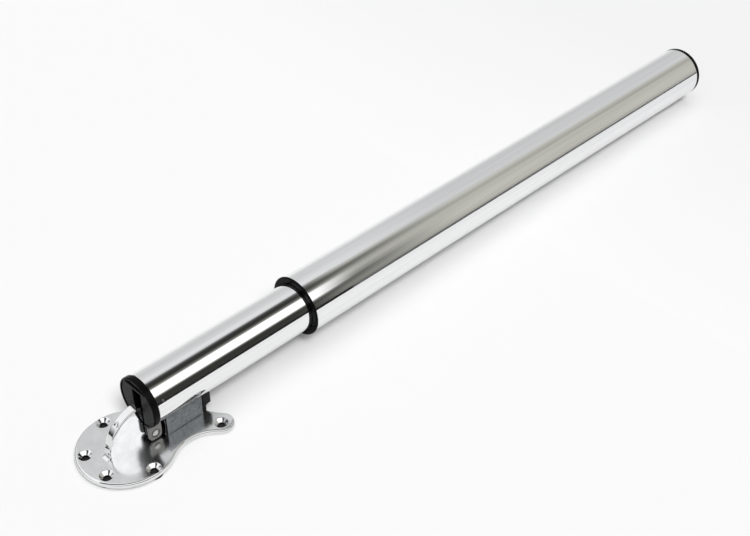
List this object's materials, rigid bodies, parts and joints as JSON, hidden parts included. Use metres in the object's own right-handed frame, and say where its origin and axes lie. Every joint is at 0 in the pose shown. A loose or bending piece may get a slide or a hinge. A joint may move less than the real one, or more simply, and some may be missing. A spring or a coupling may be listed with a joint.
{
  "type": "folding telescopic table leg",
  "caption": "Telescopic chromed tube leg folded flat on a cast hinge plate with screw ears, black collar, end plug and foot cap.",
  "frame": {"origin": "centre of the plate's round disc, on its mounting face", "axes": "+X along the folded leg towards its foot, +Z off the mounting face, so the leg stands along +Z when it is folded out"},
  "size_m": [0.9035, 0.096, 0.0781],
  "materials": {
    "cast_chrome": "chromed die casting, polished with slight waviness",
    "tube_chrome": "bright chromed tube with faint lengthwise polishing lines",
    "satin_steel": "satin zinc-plated pressed steel",
    "pin_steel": "bright plated steel",
    "brass": "turned brass",
    "black_plastic": "black moulded plastic, semi-gloss",
    "nylon": "grey moulded nylon",
    "rubber": "black rubber, matt"
  },
  "bodies": {
    "mount_base": {"mounting_plate": "cast_chrome", "pivot_bush": "brass", "cradle_bumper": "rubber"},
    "inner_leg": {"hinge_fork": "satin_steel", "pivot_pin": "pin_steel", "end_plug": "black_plastic", "plug_rivet_near": "pin_steel", "plug_rivet_far": "pin_steel", "inner_tube": "tube_chrome", "plunger_bush": "nylon", "detent_spring": "pin_steel", "lock_plug": "nylon", "lock_plug_pin": "pin_steel", "lock_stud": "satin_steel", "stud_nut": "satin_steel", "inner_guide_sleeve": "nylon"},
    "plunger": {"detent_plunger": "satin_steel", "plunger_clip": "pin_steel"},
    "lock_ring": {"lock_expander": "nylon"},
    "lock_nut": {"lock_cone": "brass"},
    "outer_leg": {"outer_tube": "tube_chrome", "guide_collar": "black_plastic", "foot_cap": "black_plastic", "foot_pad": "rubber"}
  },
  "joints": [
    {"name": "leg_fold", "type": "hinge", "parent": "mount_base", "child": "inner_leg", "pos_m": [0.0242, 0, 0.0137], "axis": [0, -1, 0], "range_deg": [0, 90]},
    {"name": "plunger_slide", "type": "slide", "parent": "inner_leg", "child": "plunger", "axis": [1, 0, 0], "range_m": [0, 0.0198], "deforming": ["detent_spring"]},
    {"name": "lock_twist", "type": "hinge", "parent": "inner_leg", "child": "lock_ring", "pos_m": [0.6392, 0, 0.0467], "axis": [1, 0, 0], "range_deg": [0, 180]},
    {"name": "lock_nut_travel", "type": "slide", "parent": "lock_ring", "child": "lock_nut", "axis": [-1, 0, 0], "range_m": [0, 0.001]},
    {"name": "leg_extend", "type": "slide", "parent": "lock_ring", "child": "outer_leg", "axis": [1, 0, 0], "range_m": [-0.115, 0.24]}
  ],
  "couplings": [
    {"joint": "plunger_slide", "follows": "leg_fold", "m_per_rad": 0.012605},
    {"joint": "lock_nut_travel", "follows": "lock_twist", "m_per_rad": 0.0003183}
  ]
}
